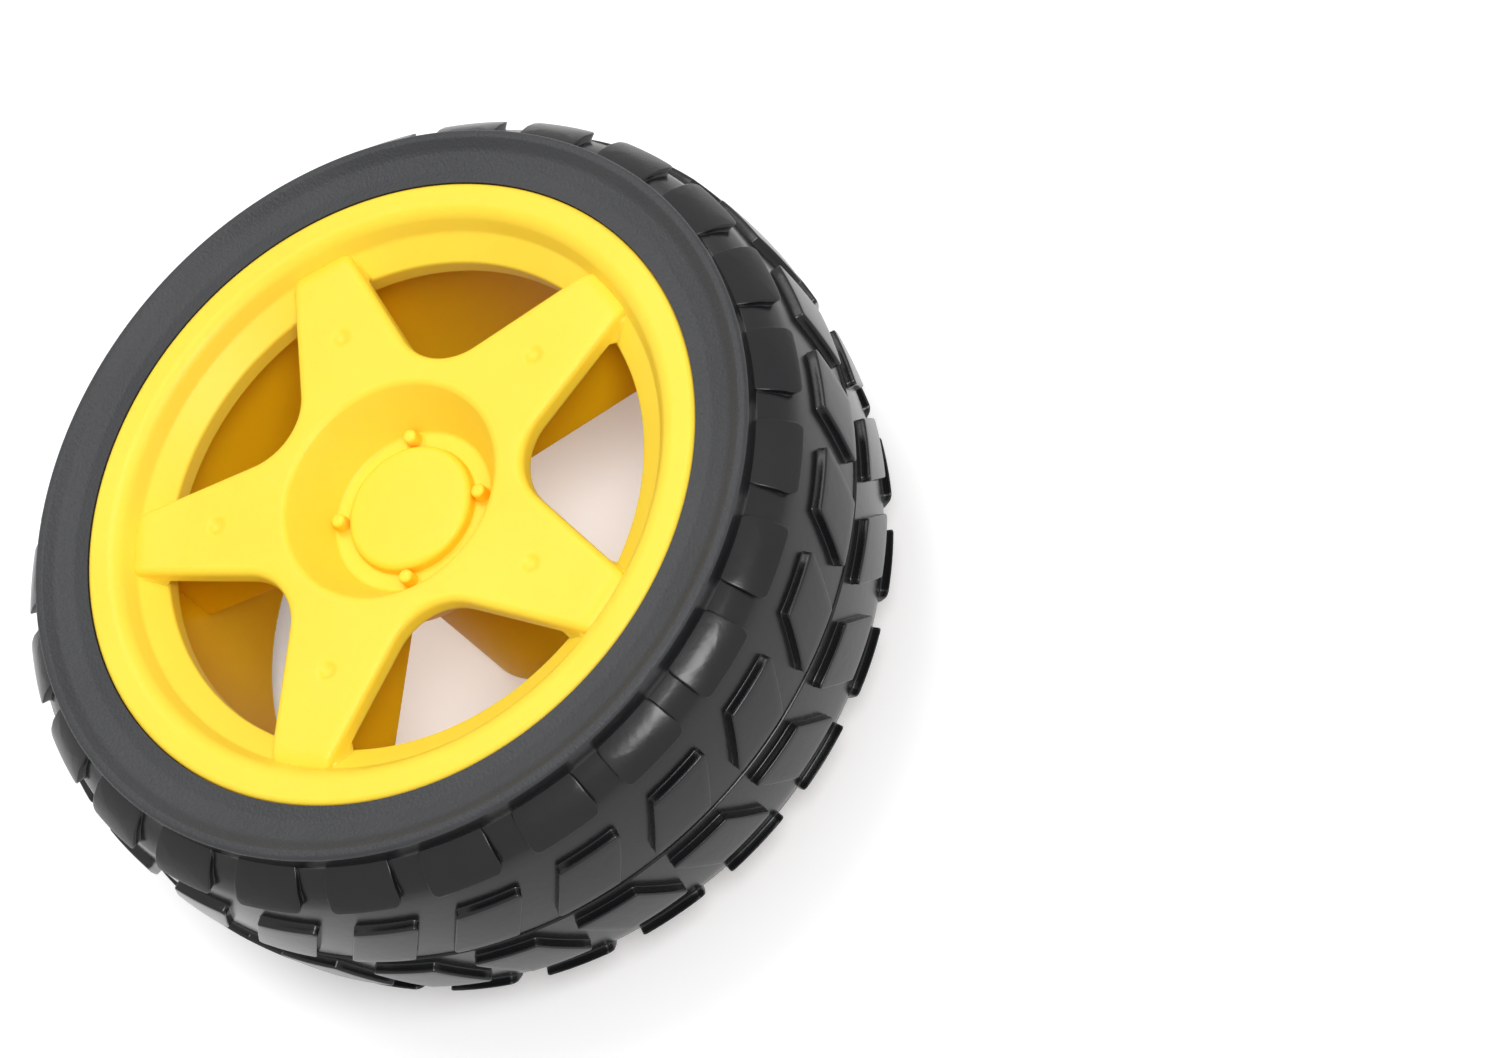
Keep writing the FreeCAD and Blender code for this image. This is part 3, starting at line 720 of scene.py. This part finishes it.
def make_floor():
    """Pale studio floor that keeps the shadow and shows white around it."""
    mesh = bpy.data.meshes.new("studio_floor")
    size = 3.0
    corners = [(-size, -size, 0), (size, -size, 0), (size, size, 0), (-size, size, 0)]
    mesh.from_pydata(corners, [], [(0, 1, 2, 3)])
    floor = bpy.data.objects.new("studio_floor", mesh)
    bpy.context.scene.collection.objects.link(floor)
    material, tree, shader = new_material("floor_white")
    shader.inputs["Base Color"].default_value = (0.9, 0.9, 0.9, 1)
    shader.inputs["Roughness"].default_value = 0.5
    shader.inputs["Emission Color"].default_value = (1, 1, 1, 1)
    lift = node(tree, "ShaderNodeMath", (-300, 200), operation="MULTIPLY")
    lift.inputs[1].default_value = 0.25
    tree.links.new(shown(tree), lift.inputs[0])
    tree.links.new(lift.outputs[0], shader.inputs["Emission Strength"])
    mesh.materials.append(material)


def make_world():
    world = bpy.data.worlds.new("studio")
    world.use_nodes = True
    bpy.context.scene.world = world
    tree = world.node_tree
    background = tree.nodes["Background"]
    level = node(tree, "ShaderNodeMapRange", (-300, 100), To_Min=0.5, To_Max=1.0)
    tree.links.new(shown(tree), level.inputs["Value"])
    tree.links.new(level.outputs["Result"], background.inputs["Strength"])
    background.inputs["Color"].default_value = (1, 1, 1, 1)


def make_lamp(name, location, target, size, power):
    lamp = bpy.data.lights.new(name, "AREA")
    lamp.shape = "DISK"
    lamp.size = size
    lamp.energy = power
    obj = bpy.data.objects.new(name, lamp)
    obj.location = location
    obj.rotation_mode = "QUATERNION"
    obj.rotation_quaternion = (Vector(location) - Vector(target)).to_track_quat("Z", "Y")
    bpy.context.scene.collection.objects.link(obj)


def make_camera():
    camera = bpy.data.cameras.new("photo_camera")
    camera.sensor_width = 36
    camera.lens = 84
    camera.clip_start = 0.01
    camera.clip_end = 20
    obj = bpy.data.objects.new("photo_camera", camera)
    obj.location = (-0.144143, -0.068040, 0.221310)
    obj.rotation_mode = "QUATERNION"
    obj.rotation_quaternion = Quaternion((0.51705, 0.28749, -0.06925, -0.80325))
    bpy.context.scene.collection.objects.link(obj)
    bpy.context.scene.camera = obj
    return obj


make_floor()
make_world()
camera = make_camera()
turn = camera.rotation_quaternion
centre = Vector((0, 0, MIDDLE * MM))
key_from = centre + turn @ Vector((-0.30, 0.42, 0.35))
make_lamp("key_light", key_from, centre, 0.4, 1.5)
fill_from = centre + turn @ Vector((0.06, 0.10, 0.60))
make_lamp("fill_light", fill_from, centre, 0.25, 2.0)

scene = bpy.context.scene
scene.view_settings.view_transform = "Standard"
